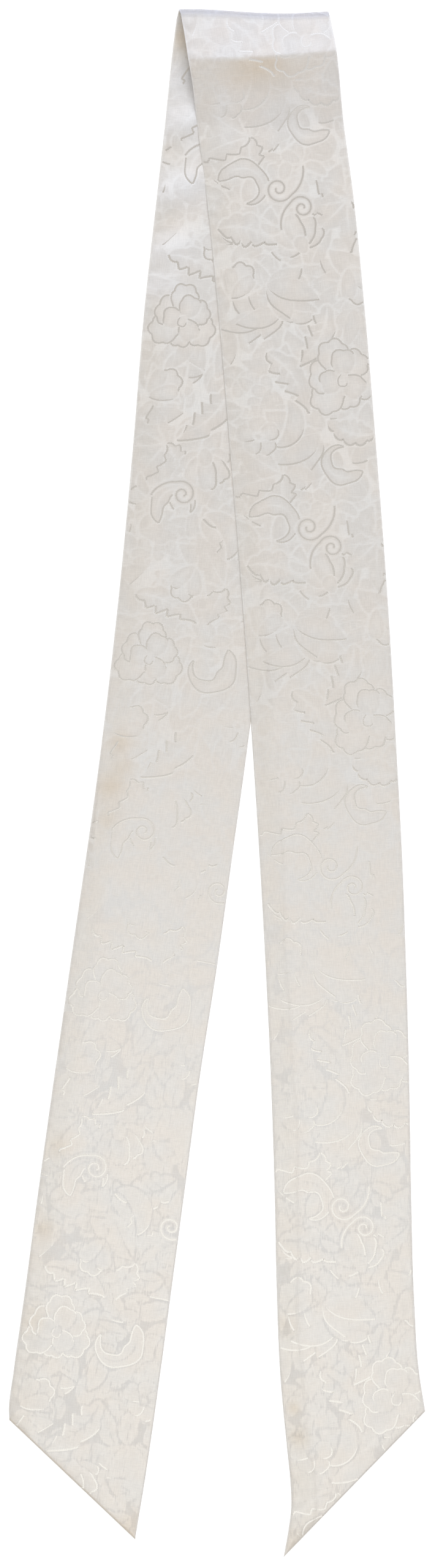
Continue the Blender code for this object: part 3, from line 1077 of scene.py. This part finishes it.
def blend_colours(tree, share, first, second, blend_type="MIX"):
    """Mix two colours by a share. Colours are sockets or tuples."""
    node = add_node(tree, "ShaderNodeMix", data_type="RGBA", blend_type=blend_type)
    for value, at in ((share, MIX_SHARE), (first, MIX_FIRST), (second, MIX_SECOND)):
        link(tree, value, node.inputs[at])
    return node.outputs[MIX_COLOUR]


def read_attribute(tree, name):
    """Read a value that the cloth's mesh holds at each point."""
    return add_node(tree, "ShaderNodeAttribute", attribute_name=name).outputs["Fac"]


def new_group(name, kind, inputs, outputs):
    """Start a node group with named inputs and outputs. Also returns its inputs' identifiers."""
    group = bpy.data.node_groups.new(name, kind)
    identifiers = {}
    for socket, socket_kind, default in inputs:
        made = group.interface.new_socket(socket, in_out="INPUT", socket_type=socket_kind)
        identifiers[socket] = made.identifier
        if default is not None:
            made.default_value = default
    for socket, socket_kind in outputs:
        group.interface.new_socket(socket, in_out="OUTPUT", socket_type=socket_kind)
    return group, group.nodes.new("NodeGroupInput"), group.nodes.new("NodeGroupOutput"), identifiers


def add_noise(tree, place, scale, detail):
    """A noise pattern at a place. Returns its value."""
    noise = add_node(tree, "ShaderNodeTexNoise")
    set_inputs(noise, {"Scale": scale, "Detail": detail})
    link(tree, place, noise.inputs["Vector"])
    return noise.outputs["Fac"]


# Repeats of the yarns' noise in a metre, across and along the cloth
WARP_YARNS = (1400.0, 160.0, 1.0)
WEFT_YARNS = (190.0, 1700.0, 1.0)
YARN_DETAIL = 3.0
SHADE_SCALE = 90.0
DRIFT_SCALE = 42.0
DRIFT_DETAIL = 2.0
RIB_WAVE = {"Scale": 0.31, "Distortion": 0.6, "Detail": 1.0}


def weave_group():
    """Silk weave: fine ribs both ways, slubs along the warp, and a slow drift of shade."""
    group, given, result, _ = new_group(
        "silk weave",
        "ShaderNodeTree",
        [("Cloth", "NodeSocketVector", None), ("Rib spacing", "NodeSocketFloat", 0.0006)],
        [(name, "NodeSocketFloat") for name in ("Height", "Slub", "Yarns", "Shade", "Drift")],
    )
    scaled = add_node(group, "ShaderNodeVectorMath", operation="SCALE")
    link(group, given.outputs["Cloth"], scaled.inputs[0])
    link(group, maths(group, "DIVIDE", 1.0, given.outputs["Rib spacing"]), scaled.inputs["Scale"])
    ribs = []
    for direction in ("X", "Y"):
        wave = add_node(group, "ShaderNodeTexWave", wave_type="BANDS", bands_direction=direction)
        set_inputs(wave, RIB_WAVE)
        link(group, scaled.outputs[0], wave.inputs["Vector"])
        ribs.append(wave.outputs["Fac"])
    yarns = []
    for repeats in (WARP_YARNS, WEFT_YARNS):
        stretch = add_node(group, "ShaderNodeVectorMath", operation="MULTIPLY")
        link(group, given.outputs["Cloth"], stretch.inputs[0])
        stretch.inputs[1].default_value = repeats
        yarns.append(add_noise(group, stretch.outputs[0], 1.0, YARN_DETAIL))
    put_out = {
        "Height": maths(group, "ADD", maths(group, "ADD", *ribs), yarns[0]),
        "Slub": yarns[0],
        "Yarns": maths(group, "ADD", *yarns),
        "Shade": add_noise(group, given.outputs["Cloth"], SHADE_SCALE, DRIFT_DETAIL),
        "Drift": add_noise(group, given.outputs["Cloth"], DRIFT_SCALE, DRIFT_DETAIL),
    }
    for name, socket in put_out.items():
        link(group, socket, result.inputs[name])
    return group


GROUND_COLOUR = (0.762, 0.727, 0.672, 1.0)
FIGURE_COLOUR = (0.756, 0.714, 0.657, 1.0)
SEAM_COLOUR = (0.690, 0.640, 0.565, 1.0)
# Painted shade: warm brown laid where shade falls in dents, under the crest and along the rolled end
PAINTED_SHADE_COLOUR = (0.650, 0.512, 0.345, 1.0)
# Painted light: the very rims are painted paler, against the shade on their rounded edges
RIM_PAINTED_LIGHT = (0.86, 0.84, 0.80, 1.0)
# Painted cool shade on the turn, and painted cool light on the facet
TURN_PAINTED_SHADE = (0.66, 0.668, 0.715, 1.0)
FACET_PAINTED_LIGHT = (1.03, 1.043, 1.09, 1.0)
YARN_TINT = (0.925, 0.925, 0.925, 1.0)
SHEEN_COLOUR = (0.89, 0.89, 0.91, 1.0)
COOL_DRIFT = (0.994, 1.001, 1.013, 1.0)
WARM_DRIFT = (1.013, 0.994, 0.980, 1.0)
THREAD_COLOUR = (0.79, 0.757, 0.710, 1.0)

# Where most of a noise pattern's values lie, and how far it shifts what it is added to
NOISE_SPAN = (0.3, 0.7)
NOISE_MIDDLE = (0.35, 0.65)
YARN_SPAN = (0.75, 1.25)
EDGE_UNEVENNESS = 0.4
CLOUDINESS = 0.22
STREAKS = 0.08
MOST_WORN = 0.5

# From the ground into a figure in millimetres, and from a figure's tone to how much satin shows
EDGE_SPAN = (0.5, -0.5)
TONE_SPAN = (-0.2, 1.2)
TONE_DENSITY = (0.5, 1.05)

CLOTH_RIBS = 0.0011
THREAD_RIBS = 0.0009
SATIN_SHEEN = 0.26
GROUND_ROUGHNESS = 0.60
SATIN_ROUGHNESS = 0.38
THREAD_ROUGHNESS = 0.37
THREAD_SHEEN = 0.82
THREAD_SHEEN_AT_THE_FOLD = 0.2
SEAM_BAND = (20.0, 9.0)
SEAM_STRENGTH = 0.28
RIM_LIGHT_BAND = (1.4, 0.2)
RIM_LIGHT_STRENGTH = 0.55
PAINTED_SHADE_SHARE = 0.5
SILK_GLOSS = 0.25
BUMP_STRENGTH = 0.25
BUMP_HEIGHT = 0.00006
YARN_HEIGHT = 0.05


def start_material(name):
    """A new material with its Principled BSDF."""
    material = bpy.data.materials.new(name)
    material.use_nodes = True
    return material, material.node_tree, material.node_tree.nodes["Principled BSDF"]


def fold_light_group():
    """Painted cool light and shade at the fold: the turn painted darker and cooler, the facet lighter and
    cooler, worked out from how far a place is round the turn.
    """
    group, given, result, _ = new_group(
        "fold light",
        "ShaderNodeTree",
        [("Colour", "NodeSocketColor", None), ("Turn", "NodeSocketFloat", 0.0)],
        [("Colour", "NodeSocketColor")],
    )
    turned_over = ramp(group, given.outputs["Turn"], FACET_SHARE, 1.0)
    on_facet = ramp(group, given.outputs["Turn"], 0.0, FACET_SHARE)
    with_painted_turn_shade = blend_colours(group, turned_over, given.outputs["Colour"], TURN_PAINTED_SHADE, "MULTIPLY")
    link(group, blend_colours(group, on_facet, with_painted_turn_shade, FACET_PAINTED_LIGHT, "MULTIPLY"), result.inputs["Colour"])
    return group


def cool_at_the_fold(tree, fold_light, colour):
    """Put a colour through the fold's painted light and shade."""
    node = add_node(tree, "ShaderNodeGroup", node_tree=fold_light)
    link(tree, colour, node.inputs["Colour"])
    link(tree, read_attribute(tree, "turn"), node.inputs["Turn"])
    return node.outputs["Colour"]


def place_weave(tree, weave, rib_spacing, place):
    """Put the weave into a material, at a place and with its own spacing."""
    silk = add_node(tree, "ShaderNodeGroup", node_tree=weave)
    silk.inputs["Rib spacing"].default_value = rib_spacing
    link(tree, place, silk.inputs["Cloth"])
    return silk.outputs


def woven_silk(weave, fold_light):
    """Ivory jacquard: a matt ground and satin figures whose sheen catches the light."""
    material, tree, shader = start_material("ivory jacquard")
    cloth = add_node(tree, "ShaderNodeUVMap", uv_map="cloth").outputs["UV"]
    silk = place_weave(tree, weave, CLOTH_RIBS, cloth)
    uneven = ramp(tree, silk["Slub"], *NOISE_SPAN, -EDGE_UNEVENNESS, EDGE_UNEVENNESS)
    figure = ramp(tree, maths(tree, "ADD", read_attribute(tree, "figure"), uneven), *EDGE_SPAN)
    cloudy = ramp(tree, silk["Shade"], *NOISE_SPAN, -CLOUDINESS, CLOUDINESS)
    tone = maths(tree, "ADD", read_attribute(tree, "tone"), cloudy)
    density = maths(tree, "MULTIPLY", figure, ramp(tree, tone, *TONE_SPAN, *TONE_DENSITY))

    streaked = maths(tree, "ADD", density, ramp(tree, silk["Slub"], *NOISE_SPAN, -STREAKS, STREAKS))
    colour = blend_colours(tree, streaked, GROUND_COLOUR, FIGURE_COLOUR)
    hue = blend_colours(tree, ramp(tree, silk["Drift"], *NOISE_MIDDLE), COOL_DRIFT, WARM_DRIFT)
    colour = blend_colours(tree, 1.0, colour, hue, "MULTIPLY")
    # Laid over the cloth's colour: the warmer colour beside the seam, painted shade, painted pale sheen,
    # and painted light at the rims
    for share, laid_on in (
        (ramp(tree, read_attribute(tree, "seam"), *SEAM_BAND, 0.0, SEAM_STRENGTH), SEAM_COLOUR),
        (maths(tree, "MULTIPLY", read_attribute(tree, "painted_shade"), PAINTED_SHADE_SHARE), PAINTED_SHADE_COLOUR),
        (read_attribute(tree, "sheen"), SHEEN_COLOUR),
        (ramp(tree, read_attribute(tree, "rim"), *RIM_LIGHT_BAND, 0.0, RIM_LIGHT_STRENGTH), RIM_PAINTED_LIGHT),
    ):
        colour = blend_colours(tree, share, colour, laid_on)
    # Painted cool light and shade at the fold
    colour = cool_at_the_fold(tree, fold_light, colour)
    yarns = ramp(tree, silk["Yarns"], *YARN_SPAN)
    link(tree, blend_colours(tree, yarns, colour, YARN_TINT, "MULTIPLY"), shader.inputs["Base Color"])

    link(tree, maths(tree, "MULTIPLY", density, SATIN_SHEEN), shader.inputs["Metallic"])
    link(tree, ramp(tree, density, 0, 1, GROUND_ROUGHNESS, SATIN_ROUGHNESS), shader.inputs["Roughness"])
    bump = add_node(tree, "ShaderNodeBump")
    set_inputs(bump, {"Strength": BUMP_STRENGTH, "Distance": BUMP_HEIGHT})
    height = maths(tree, "ADD", maths(tree, "MULTIPLY", silk["Height"], YARN_HEIGHT), figure)
    link(tree, height, bump.inputs["Height"])
    link(tree, bump.outputs["Normal"], shader.inputs["Normal"])
    shader.inputs["Specular IOR Level"].default_value = SILK_GLOSS
    return material


def satin_thread(weave, fold_light):
    """The outlines' satin floats: darker than the ground, and brighter where they mirror a light."""
    material, tree, shader = start_material("satin thread")
    place = add_node(tree, "ShaderNodeTexCoord").outputs["Object"]
    silk = place_weave(tree, weave, THREAD_RIBS, place)
    worn = ramp(tree, silk["Slub"], *NOISE_MIDDLE, 0.0, MOST_WORN)
    colour = blend_colours(tree, worn, THREAD_COLOUR, GROUND_COLOUR)
    # The threads take the fold's painted cool light and shade too
    link(tree, cool_at_the_fold(tree, fold_light, colour), shader.inputs["Base Color"])
    turn = read_attribute(tree, "turn")
    sheen = ramp(tree, turn, 0.0, FACET_SHARE, THREAD_SHEEN, THREAD_SHEEN_AT_THE_FOLD)
    link(tree, sheen, shader.inputs["Metallic"])
    shader.inputs["Roughness"].default_value = THREAD_ROUGHNESS
    return material


# Outline threads

TICK_SPACING = 1.2
TICK_DEPTH = 0.35
THREAD_WIDTH = 1.36
THREAD_SINK = 0.02
THREAD_RISE = 0.1
THREAD_INSET = 0.9
SHOWN_STEP = 0.4
HIDDEN_STEP = 1.1
SHOWN_SECTION = 4
HIDDEN_SECTION = 3


def thread_tree():
    """A node tree that gives each line of a mesh a low round section, as wide as its attribute says."""
    tree, given, result, identifiers = new_group(
        "outline threads",
        "GeometryNodeTree",
        [
            ("Lines", "NodeSocketGeometry", None),
            ("Section points", "NodeSocketInt", 4),
            ("Rise", "NodeSocketFloat", 0.4),
            ("Finish", "NodeSocketMaterial", None),
        ],
        [("Threads", "NodeSocketGeometry")],
    )
    lines = add_node(tree, "GeometryNodeMeshToCurve")
    upright = add_node(tree, "GeometryNodeSetCurveNormal", mode="FREE")
    up = add_node(tree, "GeometryNodeInputNamedAttribute", data_type="FLOAT_VECTOR")
    up.inputs["Name"].default_value = "cloth_up"
    wide = add_node(tree, "GeometryNodeInputNamedAttribute", data_type="FLOAT")
    wide.inputs["Name"].default_value = "thread_width"
    section = add_node(tree, "GeometryNodeCurveArc")
    set_inputs(section, {"Radius": 0.5, "Start Angle": -math.pi / 2, "Sweep Angle": math.pi})
    flatten = add_node(tree, "GeometryNodeTransform")
    scale = add_node(tree, "ShaderNodeCombineXYZ")
    set_inputs(scale, {"Y": 1.0, "Z": 1.0})
    body = add_node(tree, "GeometryNodeCurveToMesh")
    smooth = add_node(tree, "GeometryNodeSetShadeSmooth")
    finished = add_node(tree, "GeometryNodeSetMaterial")
    real = add_node(tree, "GeometryNodeRealizeInstances")
    for start, output, end, socket in (
        (given, "Lines", lines, "Mesh"),
        (lines, "Curve", upright, "Curve"),
        (up, "Attribute", upright, "Normal"),
        (given, "Section points", section, "Resolution"),
        (section, "Curve", flatten, "Geometry"),
        (given, "Rise", scale, "X"),
        (scale, "Vector", flatten, "Scale"),
        (upright, "Curve", body, "Curve"),
        (flatten, "Geometry", body, "Profile Curve"),
        (wide, "Attribute", body, "Scale"),
        (body, "Mesh", smooth, "Geometry"),
        (smooth, "Geometry", real, "Geometry"),
        (real, "Geometry", finished, "Geometry"),
        (given, "Finish", finished, "Material"),
        (finished, "Geometry", result, "Threads"),
    ):
        link(tree, start.outputs[output], end.inputs[socket])
    return tree, identifiers


def outline_threads(layer, tile, tree, identifiers, material):
    """Lay the tile's outline threads on every repeat of a layer."""
    first, last = (math.floor(end / REPEAT) for end in (COURSE.along[0], COURSE.along[-1]))
    points, widths, normals, painted_light_shares, edges = [], [], [], [], []
    total = 0
    for line, width, at in tile.threads(SHOWN_STEP if layer.shows else HIDDEN_STEP):
        if width.max() < LEAST_WIDTH:
            continue
        ticks = 1 + TICK_DEPTH * np.sin(at * 2 * math.pi / TICK_SPACING) if layer.shows else 1.0
        for repeat in range(first - 1, last + 2):
            s, across = from_cloth(line[:, 0], (line[:, 1] + repeat * REPEAT) * layer.side)
            on_tail = s > JOIN if layer.front else s < JOIN
            inset = np.minimum.reduce(insets(s, across))
            keep = on_tail & (inset > THREAD_INSET) & (width > LEAST_WIDTH)
            if not keep.any():
                continue
            normal = outward(s, across) * layer.side
            points.append(layer_point(s, across, layer) - normal * THREAD_SINK)
            normals.append(normal)
            # The fold's painted light and shade, which the threads' colour takes
            painted_light_shares.append(painted_fold_light(s) if layer.side > 0 and layer.front else np.zeros_like(s))
            widths.append(width * ticks * THREAD_WIDTH)
            joined = np.nonzero(keep[:-1] & keep[1:])[0] + total
            edges.append(np.stack([joined, joined + 1], 1))
            total += len(line)
    edges = np.concatenate(edges)
    used = np.unique(edges)
    renumber = np.zeros(total, int)
    renumber[used] = np.arange(len(used))
    found = (points, widths, normals, painted_light_shares)
    points, widths, normals, painted_light_shares = (np.concatenate(rows)[used] for rows in found)
    host = add_mesh(layer.name + "_threads", points, [], renumber[edges].tolist())
    give_attribute(host, "thread_width", widths * MM)
    give_attribute(host, "turn", painted_light_shares)
    give_attribute(host, "cloth_up", normals, "FLOAT_VECTOR")
    modifier = host.modifiers.new("threads", "NODES")
    modifier.node_group = tree
    modifier[identifiers["Section points"]] = SHOWN_SECTION if layer.shows else HIDDEN_SECTION
    modifier[identifiers["Rise"]] = THREAD_RISE
    modifier[identifiers["Finish"]] = material
    made = bpy.data.meshes.new_from_object(host.evaluated_get(bpy.context.evaluated_depsgraph_get()))
    host.modifiers.remove(modifier)
    host.data = made
    return host


# Floor, lights and camera

FLOOR_HALF = 15000.0
FLOOR_HEIGHT = -0.3
FLOOR_FINISH = {
    "Base Color": (0.62, 0.62, 0.62, 1.0),
    "Roughness": 0.9,
    "Specular IOR Level": 0.1,
    "Emission Color": (1.0, 1.0, 1.0, 1.0),
    "Emission Strength": 0.6,
}

# A lamp lights what is matt, shines on what is glossy, or does both
Lamp = namedtuple("Lamp", "name place aim size power colour lights shines")
WINDOW = ((0.1, 2.75, 2.2), (0, 0.3, 0), (5.6, 1.9))
PANEL = ((0.0, -0.545, 1.0), (0, -0.545, 0), (0.70, 0.87))
WINDOW_COLOUR = (0.79, 0.86, 0.985)
PANEL_COLOUR = (0.94, 0.985, 1.0)
LAMPS = (
    Lamp("window", *WINDOW, 145.0, WINDOW_COLOUR, True, False),
    Lamp("window sheen", *WINDOW, 80.0, WINDOW_COLOUR, False, True),
    Lamp("panel", *PANEL, 1.8, PANEL_COLOUR, True, True),
    Lamp("panel sheen", *PANEL, 2.9, PANEL_COLOUR, False, True),
)
ROOM_COLOUR = (1.0, 0.95, 0.885, 1.0)
ROOM_STRENGTH = 0.48


def add_floor():
    """A plain pale surface under the scarf."""
    corners = [(x, y, FLOOR_HEIGHT / FLOOR_HALF) for x, y in ((-1, -1), (1, -1), (1, 1), (-1, 1))]
    floor = add_mesh("floor", np.array(corners) * FLOOR_HALF, [(0, 1, 2, 3)])
    material, _, shader = start_material("white surface")
    set_inputs(shader, FLOOR_FINISH)
    floor.data.materials.append(material)


def add_lamp(lamp):
    """A soft rectangular light that points at a place on the surface."""
    data = bpy.data.lights.new(lamp.name, "AREA")
    data.shape = "RECTANGLE"
    data.size, data.size_y = lamp.size
    data.energy = lamp.power
    data.color = lamp.colour
    fitting = bpy.data.objects.new(lamp.name, data)
    bpy.context.scene.collection.objects.link(fitting)
    fitting.location = lamp.place
    fitting.rotation_euler = (Vector(lamp.aim) - Vector(lamp.place)).to_track_quat("-Z", "Y").to_euler()
    fitting.visible_camera = False
    fitting.visible_diffuse = lamp.lights
    fitting.visible_glossy = lamp.shines


def light_the_scene():
    """A cool window beyond the fold, a warm fill, and a soft panel that the lower tails mirror."""
    scene = bpy.context.scene
    world = bpy.data.worlds.new("soft room")
    world.use_nodes = True
    set_inputs(world.node_tree.nodes["Background"], {"Color": ROOM_COLOUR, "Strength": ROOM_STRENGTH})
    scene.world = world
    for lamp in LAMPS:
        add_lamp(lamp)
    scene.view_settings.view_transform = "Standard"


def add_camera():
    """A camera straight above, framed like the photo."""
    x = (FRAME_CENTRE_PX[0] - MIDDLE_LINE_PX) * PIXEL - MIDDLE_LINE
    y = LENGTH / 2 - (FRAME_CENTRE_PX[1] - FOLD_PX) * PIXEL
    data = bpy.data.cameras.new("camera")
    data.sensor_fit = "VERTICAL"
    data.sensor_height = SENSOR
    data.lens = SENSOR * CAMERA_HEIGHT / (FRAME_HEIGHT_PX * PIXEL * MM)
    camera = bpy.data.objects.new("camera", data)
    bpy.context.scene.collection.objects.link(camera)
    camera.location = (x * MM, y * MM, CAMERA_HEIGHT)
    bpy.context.scene.camera = camera


# Putting the scarf together


def build_scarf():
    """Make the four layers and their threads, attach them to the root, and hide the parts they replace."""
    weave = weave_group()
    fold_light = fold_light_group()
    silk, satin = woven_silk(weave, fold_light), satin_thread(weave, fold_light)
    tree, identifiers = thread_tree()
    tiles = {1: Tile(filling(FACE_SEED) + FACE_MOTIFS), -1: Tile(filling(BACK_SEED) + BACK_MOTIFS)}
    for layer in LAYERS:
        tile = tiles[layer.side]
        sheet = cloth_layer(layer, tile, silk)
        threads = outline_threads(layer, tile, tree, identifiers, satin)
        for piece in (sheet, threads):
            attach(piece, "root")
        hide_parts(*layer.replaces)
        length, cloth_area = flat_cut(layer.front)


add_camera()
add_floor()
light_the_scene()
build_scarf()
